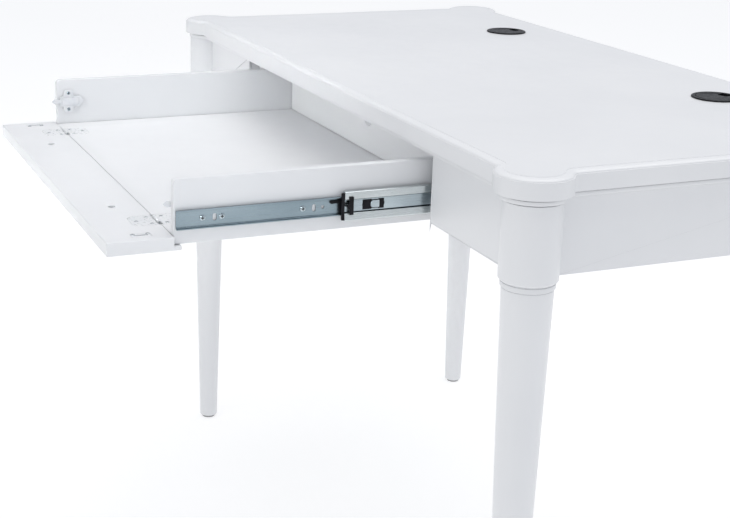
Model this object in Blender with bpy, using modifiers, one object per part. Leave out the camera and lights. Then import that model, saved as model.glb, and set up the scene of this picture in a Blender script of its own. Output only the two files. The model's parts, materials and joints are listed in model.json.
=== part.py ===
"""Writing desk on four turned legs, with a centre drawer whose front drops down.

Metres, +Z up, the user sits on the -Y side. The desk stands on Z = 0 with the drawer pulled out
and its front dropped level with the drawer's bottom. The origin is the bottom centre of the whole
opened desk, so the desk's own centre lies DESK_SHIFT behind it.
"""
import math

import bmesh
import bpy
from mathutils import Vector

# ---------------------------------------------------------------- driving dimensions
GAP = 0.0003                    # air left between faces that touch

TOP_Z = 0.762                   # working surface above the floor
SLAB_BOTTOM_Z = 0.7374
SLAB_FACE_TOP_Z = 0.7575        # where the upright edge ends and the rounding starts
EDGE_X = 0.5765                 # straight ends of the slab
EDGE_Y = 0.2865                 # straight front and back of the slab
EDGE_STEP = 0.0012              # small step above the upright edge
EDGE_ROUND = 0.0105             # width of the rounding above the step
LOBE_R = 0.045                  # round corner of the slab over each leg
LOBE_BLEND = 0.008              # hollow where a corner meets the straight edge
LOBE_STEPS = 12
BLEND_STEPS = 2

BOARD_INSET = 0.0065            # board under the slab, seen as a thin moulding
BOARD_BOTTOM_Z = 0.7300

LEG_X = 0.5620
LEG_Y = 0.2617
LOBE_X = LEG_X - 0.004          # a round corner's centre lies just inside its leg's axis
LOBE_Y = LEG_Y - 0.002
POST_R = 0.034
POST_END_Z = 0.641              # the post's straight side ends here
RING_R = 0.0313
RING_TOP_Z = 0.6370
RING_END_Z = 0.6325
TAPER_TOP_R = 0.0296
TAPER_TOP_Z = 0.6310
FOOT_R = 0.0159
FOOT_CHAMFER = 0.0015
GLIDE_R = 0.012
GLIDE_T = 0.004
TURN_STEPS = 28

APRON_BOTTOM_Z = 0.638
APRON_T = 0.018
APRON_FACE_X = 0.5625
APRON_FACE_Y = 0.2677
OPENING_X = 0.3345              # half the opening between the two front panels

BLOCK_INNER = 0.045
BLOCK_OUTER = 0.085
BLOCK_Z = (0.665, 0.715)
BOLT_Z = 0.690
BOLT_R = 0.004
BOLT_NUT_R = 0.0085
BOLT_NUT_T = 0.008
BOLT_START = 0.020              # from the leg's axis, along the diagonal
BOLT_END = 0.098

DRAWER_X = 0.315                # outside of the drawer's sides
DRAWER_T = 0.012
DRAWER_BOTTOM_Z = 0.636
DRAWER_FLOOR_Z = 0.647
DRAWER_TOP_Z = 0.715
DRAWER_FRONT_Y = -0.5934
DRAWER_LENGTH = 0.4004
DRAWER_NOSE_R = 0.006
BACK_NOTCH_R = 0.018
BACK_NOTCH_Z = 0.703            # centre of the notch's round bottom

SLIDE_Z = 0.666
SLIDE_LENGTH = 0.356
SLIDE_SHEET = 0.0012
SLIDE_INNER_Y = -0.591
SLIDE_MIDDLE_Y = -0.380
SLIDE_OUTER_Y = -0.2485
SLIDE_PACK = 0.0132             # from the drawer's side to the divider
DIVIDER_X = DRAWER_X + SLIDE_PACK + GAP
DIVIDER_T = 0.018
DIVIDER_BOTTOM_Z = 0.6405

FRONT_X = 0.321                 # half the width of the dropping front
FRONT_H = 0.0814                # from the hinge axis to its top edge
FRONT_T = 0.0167
LIP_REACH = 0.009
LIP_DEPTH = 0.0114
KNOB_X = 0.174
KNOB_Y = -0.037
KNOB_R = 0.015
KNOB_LENGTH = 0.025
SCREW_R = 0.002
SCREW_HEAD_R = 0.0038
COUNTERBORE_R = 0.0048
COUNTERBORE_DEPTH = 0.009

HINGE_X = 0.245
LEAF_HALF = 0.022
LEAF_REACH = 0.033
LEAF_T = 0.0016
KNUCKLE_R = 0.0024
KNUCKLE_HALF = 0.013
KNUCKLE_SPLIT = 0.0044
PIN_R = 0.0011
PIN_HOLE_R = 0.0014

CATCH_Y = -0.035
CATCH_SIZE = (0.0136, 0.0240, 0.0096)
CATCH_SLOT = (0.0050, 0.0170, 0.0086)
SPEAR_Z = 0.682
SPEAR_START = 0.0045
SPEAR_END = 0.0355
SPEAR_HALF = 0.008
SPEAR_EAR = (0.0100, 0.0250, 0.0175)
SPEAR_POINT = 0.0055
SPEAR_TONGUE = 0.0081
SPEAR_TONGUE_HALF = 0.0042
SPEAR_T = 0.0032
CATCH_X = DRAWER_X - DRAWER_T - GAP - SPEAR_T / 2

GROMMET_X = 0.2885
GROMMET_Y = 0.1825
GROMMET_HOLE_R = 0.030
GROMMET_FLANGE_R = 0.033
GROMMET_FLANGE_T = 0.0018
CAP_R = 0.0270
CAP_NOTCH = (0.0160, 0.0150)    # width, depth from the rim
CAP_NOTCH_TURN = math.radians(105)

LEVER_Y = -0.3860
LEVER_T = 0.0022
BUMPER_Y = -0.3744
BUMPER_T = 0.0016

FRONT_REACH = -(DRAWER_FRONT_Y - GAP - FRONT_H)
BACK_REACH = LOBE_Y + LOBE_R
DESK_SHIFT = (FRONT_REACH - BACK_REACH) / 2

SIDES = (("left", -1), ("right", 1))
CORNERS = (("front_left", -1, -1), ("front_right", 1, -1), ("back_left", -1, 1), ("back_right", 1, 1))


# ---------------------------------------------------------------- scene and helpers
def clear_scene():
    for obj in list(bpy.data.objects):
        bpy.data.objects.remove(obj, do_unlink=True)


def new_collection(name):
    collection = bpy.data.collections.new(name)
    bpy.context.scene.collection.children.link(collection)
    return collection


def paint(name, color, roughness, metallic=0.0):
    material = bpy.data.materials.new(name)
    material.use_nodes = True
    shader = material.node_tree.nodes["Principled BSDF"]
    shader.inputs["Base Color"].default_value = (*color, 1.0)
    shader.inputs["Roughness"].default_value = roughness
    shader.inputs["Metallic"].default_value = metallic
    return material


def empty(name, location, parent=None):
    obj = bpy.data.objects.new(name, None)
    PARTS.objects.link(obj)
    obj.parent = parent
    obj.location = location
    return obj


def settle(obj, name, material, parent, location, rotation=(0.0, 0.0, 0.0)):
    """Name a new object, put it in the part's collection and hang it on its parent."""
    for collection in list(obj.users_collection):
        collection.objects.unlink(obj)
    PARTS.objects.link(obj)
    obj.name = name
    obj.parent = parent
    obj.location = location
    obj.rotation_euler = rotation
    obj.data.materials.clear()
    obj.data.materials.append(material)
    return obj


def as_cutter(obj):
    PARTS.objects.unlink(obj)
    CUTTERS.objects.link(obj)
    obj.hide_render = True
    obj.display_type = "WIRE"
    return obj


def cut(obj, cutter, operation="DIFFERENCE"):
    modifier = obj.modifiers.new(cutter.name, "BOOLEAN")
    modifier.operation = operation
    modifier.solver = "EXACT"
    modifier.object = cutter


def box(name, low, high, material, parent):
    """A box between two corners given in its parent's frame; its origin is its centre."""
    low = Vector(low)
    high = Vector(high)
    mesh = bpy.data.meshes.new(name)
    bm = bmesh.new()
    bmesh.ops.create_cube(bm, size=1.0)
    bmesh.ops.scale(bm, vec=high - low, verts=bm.verts)
    bm.to_mesh(mesh)
    bm.free()
    obj = bpy.data.objects.new(name, mesh)
    PARTS.objects.link(obj)
    return settle(obj, name, material, parent, (low + high) / 2)


def rod(name, radius, length, material, parent, location, rotation=(0.0, 0.0, 0.0), steps=TURN_STEPS):
    """A plain cylinder along its own Z, centred on its location."""
    mesh = bpy.data.meshes.new(name)
    bm = bmesh.new()
    bmesh.ops.create_cone(bm, cap_ends=True, segments=steps, radius1=radius, radius2=radius, depth=length)
    bm.to_mesh(mesh)
    bm.free()
    obj = bpy.data.objects.new(name, mesh)
    PARTS.objects.link(obj)
    return settle(obj, name, material, parent, location, rotation)


def turned(name, profile, material, parent, location, rotation=(0.0, 0.0, 0.0), steps=TURN_STEPS,
           closed=False):
    """A turned shape: (radius, height) points from the top down the outside."""
    mesh = bpy.data.meshes.new(name)
    verts = [(radius, 0.0, height) for radius, height in profile]
    edges = [(i, i + 1) for i in range(len(verts) - 1)]
    if closed:
        edges.append((len(verts) - 1, 0))
    mesh.from_pydata(verts, edges, [])
    obj = bpy.data.objects.new(name, mesh)
    PARTS.objects.link(obj)
    screw = obj.modifiers.new("turn", "SCREW")
    screw.axis = "Z"
    screw.steps = steps
    screw.render_steps = steps
    screw.use_merge_vertices = True
    screw.merge_threshold = 0.00001
    screw.use_smooth_shade = True
    return settle(obj, name, material, parent, location, rotation)


def extruded(name, outline, thickness, material, parent, location, rotation=(0.0, 0.0, 0.0)):
    """A flat outline in its own XY plane, thickened evenly along its own Z."""
    curve = bpy.data.curves.new(name + "_outline", "CURVE")
    curve.dimensions = "2D"
    curve.fill_mode = "BOTH"
    curve.extrude = thickness / 2
    spline = curve.splines.new("POLY")
    spline.points.add(len(outline) - 1)
    for point, (x, y) in zip(spline.points, outline):
        point.co = (x, y, 0.0, 1.0)
    spline.use_cyclic_u = True
    guide = bpy.data.objects.new(name + "_outline", curve)
    bpy.context.scene.collection.objects.link(guide)
    depsgraph = bpy.context.evaluated_depsgraph_get()
    mesh = bpy.data.meshes.new_from_object(guide.evaluated_get(depsgraph))
    bpy.data.objects.remove(guide)
    bm = bmesh.new()
    bm.from_mesh(mesh)
    bmesh.ops.remove_doubles(bm, verts=bm.verts, dist=0.00001)
    bmesh.ops.recalc_face_normals(bm, faces=bm.faces)
    bm.to_mesh(mesh)
    bm.free()
    obj = bpy.data.objects.new(name, mesh)
    PARTS.objects.link(obj)
    return settle(obj, name, material, parent, location, rotation)


def arc(center, radius, start, end, steps):
    points = []
    for i in range(steps + 1):
        angle = start + (end - start) * i / steps
        points.append((center[0] + radius * math.cos(angle), center[1] + radius * math.sin(angle)))
    return points


# ---------------------------------------------------------------- outline with four round corners
def lobed_outline(inset):
    """The slab's outline, moved inwards by inset: straight sides, a round lobe over each leg."""
    lobe = LOBE_R - inset
    blend = LOBE_BLEND + inset
    reach_x = EDGE_X - LOBE_X - inset
    reach_y = EDGE_Y - LOBE_Y - inset
    along_x = math.sqrt((lobe + blend) ** 2 - (reach_y + blend) ** 2)
    along_y = math.sqrt((lobe + blend) ** 2 - (reach_x + blend) ** 2)
    turn_y = math.atan2(along_y, reach_x + blend)
    turn_x = math.atan2(reach_y + blend, along_x)
    quarter = arc((reach_x + blend, -along_y), blend, math.pi, math.pi - turn_y, BLEND_STEPS)
    quarter += arc((0.0, 0.0), lobe, -turn_y, math.pi / 2 + turn_y_end(turn_x), LOBE_STEPS)[1:-1]
    quarter += arc((-along_x, reach_y + blend), blend, -turn_x, -math.pi / 2, BLEND_STEPS)
    outline = []
    for sx, sy in ((1, 1), (-1, 1), (-1, -1), (1, -1)):
        corner = [(sx * (LOBE_X + x), sy * (LOBE_Y + y)) for x, y in quarter]
        outline += corner if sx * sy > 0 else corner[::-1]
    return outline


def turn_y_end(turn_x):
    return math.pi / 2 - turn_x


def stacked(name, levels, material, parent):
    """A slab whose edge is a moulding: the lobed outline lofted through (inset, height) levels."""
    bm = bmesh.new()
    rings = []
    for inset, height in levels:
        rings.append([bm.verts.new((x, y, height)) for x, y in lobed_outline(inset)])
    count = len(rings[0])
    for lower, upper in zip(rings, rings[1:]):
        for i in range(count):
            j = (i + 1) % count
            bm.faces.new((lower[i], lower[j], upper[j], upper[i]))
    bm.faces.new(rings[0][::-1])
    bm.faces.new(rings[-1])
    mesh = bpy.data.meshes.new(name)
    bm.to_mesh(mesh)
    bm.free()
    obj = bpy.data.objects.new(name, mesh)
    PARTS.objects.link(obj)
    return settle(obj, name, material, parent, (0.0, 0.0, 0.0))


# ---------------------------------------------------------------- top, legs and aprons
def make_top():
    start = (EDGE_STEP, SLAB_FACE_TOP_Z)
    rise = TOP_Z - SLAB_FACE_TOP_Z
    levels = [(0.0, SLAB_BOTTOM_Z), (0.0, SLAB_FACE_TOP_Z), start]
    round_steps = 4
    for i in range(1, round_steps + 1):
        angle = math.pi / 2 * i / round_steps
        inset = EDGE_STEP + EDGE_ROUND * (1 - math.cos(angle))
        levels.append((inset, SLAB_FACE_TOP_Z + rise * math.sin(angle)))
    desktop = stacked("desktop", levels, WHITE, DESK)
    board = stacked("under_top_board",
                    [(BOARD_INSET, BOARD_BOTTOM_Z), (BOARD_INSET, SLAB_BOTTOM_Z - GAP)], WHITE, DESK)
    for side, sign in SIDES:
        place = (sign * GROMMET_X, GROMMET_Y, SLAB_BOTTOM_Z)
        hole = as_cutter(rod("cut_cable_hole_" + side, GROMMET_HOLE_R, 0.08, BLACK, DESK, place))
        cut(desktop, hole)
        cut(board, hole)


def leg_profile():
    top = BOARD_BOTTOM_Z - GAP
    foot = GLIDE_T + GAP
    shoulder = arc((RING_R, POST_END_Z), POST_R - RING_R, 0.0, -math.pi / 2, 3)
    points = [(0.0, top), (POST_R, top)]
    points += [(radius, height) for radius, height in shoulder]
    points += [(RING_R - 0.0008, RING_TOP_Z), (RING_R, RING_TOP_Z - 0.0008)]
    points += [(RING_R, RING_END_Z + 0.0008), (TAPER_TOP_R - 0.0004, RING_END_Z)]
    points += [(TAPER_TOP_R, TAPER_TOP_Z), (FOOT_R, foot + FOOT_CHAMFER)]
    points += [(FOOT_R - FOOT_CHAMFER, foot), (0.0, foot)]
    return points


def glide_profile():
    chamfer = 0.001
    return [(0.0, GLIDE_T), (GLIDE_R, GLIDE_T), (GLIDE_R, chamfer), (GLIDE_R - chamfer, 0.0), (0.0, 0.0)]


def bolt_profile():
    """Hanger bolt with its nut against the block; its own Z runs from the nut's end to the leg."""
    face = diagonal_reach(BLOCK_OUTER) + GAP
    return [(0.0, -BOLT_START), (BOLT_R, -BOLT_START), (BOLT_R, -face), (BOLT_NUT_R, -face),
            (BOLT_NUT_R, -face - BOLT_NUT_T), (BOLT_R, -face - BOLT_NUT_T), (BOLT_R, -BOLT_END),
            (0.0, -BOLT_END)]


def diagonal_reach(edge):
    """Distance from a leg's axis to a corner block's face that starts edge from the aprons' corner."""
    corner_x = LEG_X - (APRON_FACE_X - APRON_T - GAP)
    corner_y = LEG_Y - (APRON_FACE_Y - APRON_T - GAP)
    return (edge + corner_x + corner_y) / math.sqrt(2)


def make_legs():
    profile = leg_profile()
    for corner, sx, sy in CORNERS:
        axis = (sx * LEG_X, sy * LEG_Y, 0.0)
        leg = turned("leg_" + corner, profile, WHITE, DESK, axis)
        turned("foot_glide_" + corner, glide_profile(), GREY_PLASTIC, DESK, axis, steps=20)
        make_corner(corner, sx, sy, leg)


def make_corner(corner, sx, sy, leg):
    """Diagonal wood block behind a leg, and the hanger bolt that pulls the leg against the aprons."""
    x = APRON_FACE_X - APRON_T - GAP
    y = APRON_FACE_Y - APRON_T - GAP
    outline = [(x - BLOCK_OUTER, y), (x - BLOCK_INNER, y), (x, y - BLOCK_INNER), (x, y - BLOCK_OUTER)]
    outline = [(sx * px, sy * py) for px, py in outline]
    height = BLOCK_Z[1] - BLOCK_Z[0]
    middle = (BLOCK_Z[0] + BLOCK_Z[1]) / 2
    block = extruded("corner_block_" + corner, outline, height, PINE, DESK, (0.0, 0.0, middle))
    axis = (sx * LEG_X, sy * LEG_Y, BOLT_Z)
    outward = Vector((sx, sy, 0.0)).to_track_quat("Z", "Y").to_euler()
    turned("leg_bolt_" + corner, bolt_profile(), ZINC, DESK, axis, outward, steps=12)
    reach = Vector((-sx, -sy, 0.0)).normalized() * (BOLT_START - GAP + 0.05)
    hole = rod("cut_bolt_" + corner, BOLT_R + GAP, 0.1, BLACK, DESK, Vector(axis) + reach, outward, 12)
    as_cutter(hole)
    cut(leg, hole)
    cut(block, hole)


def make_aprons():
    posts = {}
    for corner, sx, sy in CORNERS:
        place = (sx * LEG_X, sy * LEG_Y, 0.68)
        posts[corner] = as_cutter(rod("cut_post_" + corner, POST_R + GAP, 0.3, BLACK, DESK, place))
    top = BOARD_BOTTOM_Z - GAP
    back_y = APRON_FACE_Y - APRON_T
    back = box("apron_back", (-LEG_X, back_y, APRON_BOTTOM_Z), (LEG_X, APRON_FACE_Y, top), WHITE, DESK)
    cut(back, posts["back_left"])
    cut(back, posts["back_right"])
    for side, sign in SIDES:
        xs = sorted((sign * (APRON_FACE_X - APRON_T), sign * APRON_FACE_X))
        apron = box("apron_" + side, (xs[0], -LEG_Y, APRON_BOTTOM_Z), (xs[1], LEG_Y, top), WHITE, DESK)
        cut(apron, posts["front_" + side])
        cut(apron, posts["back_" + side])
        xs = sorted((sign * OPENING_X, sign * LEG_X))
        panel = box("front_panel_" + side, (xs[0], -APRON_FACE_Y, APRON_BOTTOM_Z), (xs[1], -back_y, top),
                    WHITE, DESK)
        cut(panel, posts["front_" + side])
        xs = sorted((sign * DIVIDER_X, sign * (DIVIDER_X + DIVIDER_T)))
        box("divider_" + side, (xs[0], -back_y + GAP, DIVIDER_BOTTOM_Z), (xs[1], back_y - GAP, top),
            WHITE, DESK)
    half = DIVIDER_X - GAP
    front_y = -back_y + 2 * GAP
    box("front_stretcher", (-half, front_y, DRAWER_TOP_Z + 0.0035), (half, front_y + 0.06, top), WHITE, DESK)


# ---------------------------------------------------------------- cable holes in the top
def make_grommets():
    bottom = 0.742
    ledge = 0.0025
    liner_r = GROMMET_HOLE_R - GAP
    bore_r = CAP_R + GAP
    seat_z = 0.7585
    flange_z = TOP_Z + GAP
    rim_z = flange_z + GROMMET_FLANGE_T
    liner = [(bore_r, rim_z), (GROMMET_FLANGE_R - 0.001, rim_z), (GROMMET_FLANGE_R, flange_z + 0.0006),
             (GROMMET_FLANGE_R, flange_z), (liner_r, flange_z), (liner_r, bottom), (bore_r - 0.0002, bottom),
             (bore_r - 0.0002, seat_z - 0.0016), (bore_r - ledge, seat_z - 0.0016), (bore_r - ledge, seat_z),
             (bore_r, seat_z)]
    cap_z = seat_z + GAP
    cap = [(0.0, rim_z), (CAP_R - 0.001, rim_z), (CAP_R, rim_z - 0.0006), (CAP_R, cap_z), (0.0, cap_z)]
    for side, sign in SIDES:
        axis = (sign * GROMMET_X, GROMMET_Y, 0.0)
        turned("grommet_liner_" + side, liner, BLACK, DESK, axis, steps=24, closed=True)
        lid = turned("grommet_cap_" + side, cap, BLACK, DESK, axis, steps=24)
        width, depth = CAP_NOTCH
        reach = CAP_R - depth + 0.03
        centre = (axis[0] + reach * math.cos(CAP_NOTCH_TURN), axis[1] + reach * math.sin(CAP_NOTCH_TURN), TOP_Z)
        notch = box("cut_cap_" + side, (-0.03, -width / 2, -0.02), (0.03, width / 2, 0.02), BLACK, DESK)
        notch.location = centre
        notch.rotation_euler = (0.0, 0.0, CAP_NOTCH_TURN)
        cut(lid, as_cutter(notch))


# ---------------------------------------------------------------- ball-bearing slides
def channel(points):
    """Mirror the upper half of a channel's section, listed from the web upwards, about its middle."""
    return points + [(depth, -height) for depth, height in points[::-1]]


def slide_sections():
    """(depth from the drawer's side, height) outlines of the three nested members."""
    t = SLIDE_SHEET
    inner = channel([(GAP, 0.01165), (0.006, 0.01165), (0.006, 0.01165 - t), (GAP + t, 0.01165 - t)])
    middle = channel([(0.003, 0.0184), (0.0097, 0.0184), (0.0097, 0.0085), (0.0062, 0.0085)])
    middle_inside = [(0.005, 0.0097), (0.0085, 0.0097), (0.0085, 0.0184 - t), (0.003, 0.0184 - t)]
    upper = middle[:4]
    lower = middle[4:]
    mirrored = [(depth, -height) for depth, height in middle_inside[::-1]]
    middle = upper + lower + mirrored + middle_inside
    outer = [(0.004, 0.0228), (SLIDE_PACK, 0.0228), (SLIDE_PACK, -0.0228), (0.004, -0.0228),
             (0.004, -0.0228 + t), (SLIDE_PACK - t, -0.0228 + t), (SLIDE_PACK - t, 0.0228 - t),
             (0.004, 0.0228 - t)]
    return inner, middle, outer


def member(name, section, sign, start_y, parent, parent_location):
    """One slide member: its section extruded SLIDE_LENGTH back from start_y."""
    outline = [(sign * (DRAWER_X + depth), height) for depth, height in section]
    place = Vector((0.0, start_y + SLIDE_LENGTH / 2, SLIDE_Z)) - Vector(parent_location)
    return extruded(name, outline, SLIDE_LENGTH, ZINC, parent, place, (math.pi / 2, 0.0, 0.0))


def bumper_outline():
    half = 0.0123
    depth = 0.0065
    lobe_r = 0.0038
    points = [(depth, -half), (depth, half), (0.0, half)]
    points += [(x, y) for x, y in arc((0.0, 0.0), lobe_r, math.pi / 2, 3 * math.pi / 2, 6)]
    points += [(0.0, -half)]
    return points


def lever_outline():
    """Arm towards the front and a spreading foot; the lever turns about its own origin."""
    return [(-0.0108, 0.0038), (-0.0050, 0.0038), (-0.0025, -0.0040), (0.0010, -0.0092), (0.0040, -0.0092),
            (0.0040, 0.0092), (-0.0005, 0.0092), (-0.0030, 0.0074), (-0.0108, 0.0072)]


def make_slides():
    inner, middle, outer = slide_sections()
    across = (math.pi / 2, 0.0, math.pi / 2)
    for side, sign in SIDES:
        member("slide_outer_" + side, outer, sign, SLIDE_OUTER_Y, DESK, (0.0, 0.0, 0.0))
        member("slide_inner_" + side, inner, sign, SLIDE_INNER_Y, DRAWER, DRAWER_ORIGIN)
        carriage = (sign * (DRAWER_X + SLIDE_PACK / 2), SLIDE_MIDDLE_Y, SLIDE_Z)
        axis = empty("slide_middle_axis_" + side, carriage, DESK)
        member("slide_middle_" + side, middle, sign, SLIDE_MIDDLE_Y, axis, carriage)
        face_x = sign * (DRAWER_X + 0.0097 + GAP + BUMPER_T / 2)
        place = Vector((face_x, BUMPER_Y, SLIDE_Z)) - Vector(carriage)
        extruded("slide_bumper_" + side, bumper_outline(), BUMPER_T, BLACK, axis, place, across)
        lever_x = sign * (DRAWER_X + 0.0018 + LEVER_T / 2)
        place = Vector((lever_x, LEVER_Y, SLIDE_Z)) - Vector(DRAWER_ORIGIN)
        extruded("release_lever_" + side, lever_outline(), LEVER_T, BLACK, DRAWER, place, across)


# ---------------------------------------------------------------- drawer
def make_drawer():
    front = DRAWER_FRONT_Y
    back = front + DRAWER_LENGTH
    inside = DRAWER_X - DRAWER_T
    nose = arc((front + DRAWER_NOSE_R, DRAWER_TOP_Z - DRAWER_NOSE_R), DRAWER_NOSE_R,
               math.pi, math.pi / 2, 4)
    outline = [(front, DRAWER_BOTTOM_Z), (back, DRAWER_BOTTOM_Z), (back, DRAWER_TOP_Z)] + nose[::-1]
    base = Vector(DRAWER_ORIGIN)
    for side, sign in SIDES:
        place = Vector((sign * (DRAWER_X - DRAWER_T / 2), 0.0, 0.0)) - base
        extruded("drawer_side_" + side, outline, DRAWER_T, WHITE, DRAWER, place,
                 (math.pi / 2, 0.0, math.pi / 2))
    low = Vector((-inside + GAP, front, DRAWER_BOTTOM_Z)) - base
    high = Vector((inside - GAP, back, DRAWER_FLOOR_Z)) - base
    bottom = box("drawer_bottom", low, high, WHITE, DRAWER)
    top = DRAWER_TOP_Z - 0.003
    foot = DRAWER_FLOOR_Z + GAP
    outline = [(-inside + GAP, foot), (inside - GAP, foot), (inside - GAP, top), (BACK_NOTCH_R, top)]
    outline += arc((0.0, BACK_NOTCH_Z), BACK_NOTCH_R, 0.0, -math.pi, 10)
    outline += [(-BACK_NOTCH_R, top), (-inside + GAP, top)]
    place = Vector((0.0, back - DRAWER_T / 2, 0.0)) - base
    extruded("drawer_back", outline, DRAWER_T, WHITE, DRAWER, place, (math.pi / 2, 0.0, 0.0))
    make_spears()
    return bottom


def make_spears():
    """Pointed strikes on the insides of the drawer's sides, for the spring catches in the front."""
    start = DRAWER_FRONT_Y + SPEAR_START
    end = DRAWER_FRONT_Y + SPEAR_END
    ear_start = DRAWER_FRONT_Y + SPEAR_EAR[0]
    ear_end = DRAWER_FRONT_Y + SPEAR_EAR[1]
    ear_top = SPEAR_EAR[2]
    tip = DRAWER_FRONT_Y - SPEAR_TONGUE
    upper = [(end + SPEAR_POINT, 0.001), (end, SPEAR_HALF), (ear_end, SPEAR_HALF), (ear_end, ear_top - 0.003),
             (ear_end - 0.003, ear_top), (ear_start + 0.003, ear_top), (ear_start, ear_top - 0.003),
             (ear_start, SPEAR_HALF), (start, SPEAR_HALF), (start, SPEAR_TONGUE_HALF * 0.6),
             (tip + 0.004, SPEAR_TONGUE_HALF), (tip, 0.0007)]
    outline = upper + [(y, -z) for y, z in upper[::-1]]
    inside = DRAWER_X - DRAWER_T - GAP
    for side, sign in SIDES:
        place = Vector((sign * (inside - SPEAR_T / 2), 0.0, SPEAR_Z)) - Vector(DRAWER_ORIGIN)
        extruded("strike_spear_" + side, outline, SPEAR_T, MILKY, DRAWER, place,
                 (math.pi / 2, 0.0, math.pi / 2))


# ---------------------------------------------------------------- dropping front
def make_front(bottom):
    outline = [(0.0, 0.0), (-FRONT_H, 0.0), (-FRONT_H, -FRONT_T), (LIP_REACH, -FRONT_T),
               (LIP_REACH, -LIP_DEPTH), (0.0, -LIP_DEPTH)]
    front = extruded("drop_front", outline, 2 * FRONT_X, WHITE, FRONT, (0.0, 0.0, 0.0),
                     (math.pi / 2, 0.0, math.pi / 2))
    for side, sign in SIDES:
        make_knob(side, sign, front)
        make_catch(side, sign, front)
        make_hinge(side, sign, front, bottom)


def make_knob(side, sign, front):
    base = -FRONT_T - GAP
    head = base - KNOB_LENGTH
    profile = [(0.0, base), (0.0072, base), (0.0072, base - 0.0015), (0.0052, base - 0.004)]
    profile += [(0.0052, base - 0.009), (KNOB_R - 0.002, base - 0.0135)]
    profile += arc((KNOB_R - 0.005, base - 0.0185), 0.005, math.pi / 4, -math.pi / 4, 4)
    profile += [(KNOB_R - 0.006, head + 0.0008), (0.0, head)]
    place = (sign * KNOB_X, KNOB_Y, 0.0)
    knob = turned("knob_" + side, profile, NICKEL, FRONT, place, steps=24)
    bore = as_cutter(rod("cut_knob_" + side, SCREW_R + GAP, 0.024, BLACK, FRONT,
                         (place[0], place[1], base), steps=12))
    cut(knob, bore)
    hole = as_cutter(rod("cut_knob_hole_" + side, SCREW_R + GAP, 0.05, BLACK, FRONT, place, steps=12))
    cut(front, hole)
    wide = as_cutter(rod("cut_knob_sink_" + side, COUNTERBORE_R, 2 * COUNTERBORE_DEPTH, BLACK, FRONT,
                         place, steps=16))
    cut(front, wide)
    seat = -COUNTERBORE_DEPTH + GAP
    screw = [(0.0, seat + 0.003), (SCREW_HEAD_R, seat + 0.003), (SCREW_HEAD_R, seat), (SCREW_R, seat),
             (SCREW_R, base - 0.009), (0.0, base - 0.009)]
    turned("knob_screw_" + side, screw, ZINC, FRONT, place, steps=12)


def make_catch(side, sign, front):
    """Spring catch let into the front's inner face; its slot takes the strike's point."""
    half = [value / 2 for value in CATCH_SIZE]
    middle = Vector((sign * CATCH_X, CATCH_Y, 0.0))
    low = middle + Vector((-half[0], -half[1], -CATCH_SIZE[2]))
    high = middle + Vector((half[0], half[1], 0.0))
    body = box("spring_catch_" + side, low, high, MILKY, FRONT)
    slot_half = [value / 2 for value in CATCH_SLOT]
    slot_low = middle + Vector((-slot_half[0], -slot_half[1], -CATCH_SLOT[2]))
    slot_high = middle + Vector((slot_half[0], slot_half[1], CATCH_SLOT[2]))
    cut(body, as_cutter(box("cut_catch_slot_" + side, slot_low, slot_high, BLACK, FRONT)))
    room = Vector((GAP, GAP, GAP))
    pocket_high = high + Vector((GAP, GAP, 0.01))
    cut(front, as_cutter(box("cut_catch_pocket_" + side, low - room, pocket_high, BLACK, FRONT)))


def leaf_outline(reach, half, start):
    """A hinge leaf seen from above, from the knuckle out to a round-cornered end."""
    corner = 0.012
    points = [(half, start)]
    points += arc((half - corner, reach - corner), corner, 0.0, math.pi / 2, 4)
    points += arc((corner - half, reach - corner), corner, math.pi / 2, math.pi, 4)
    points += [(-half, start)]
    return points


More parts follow.
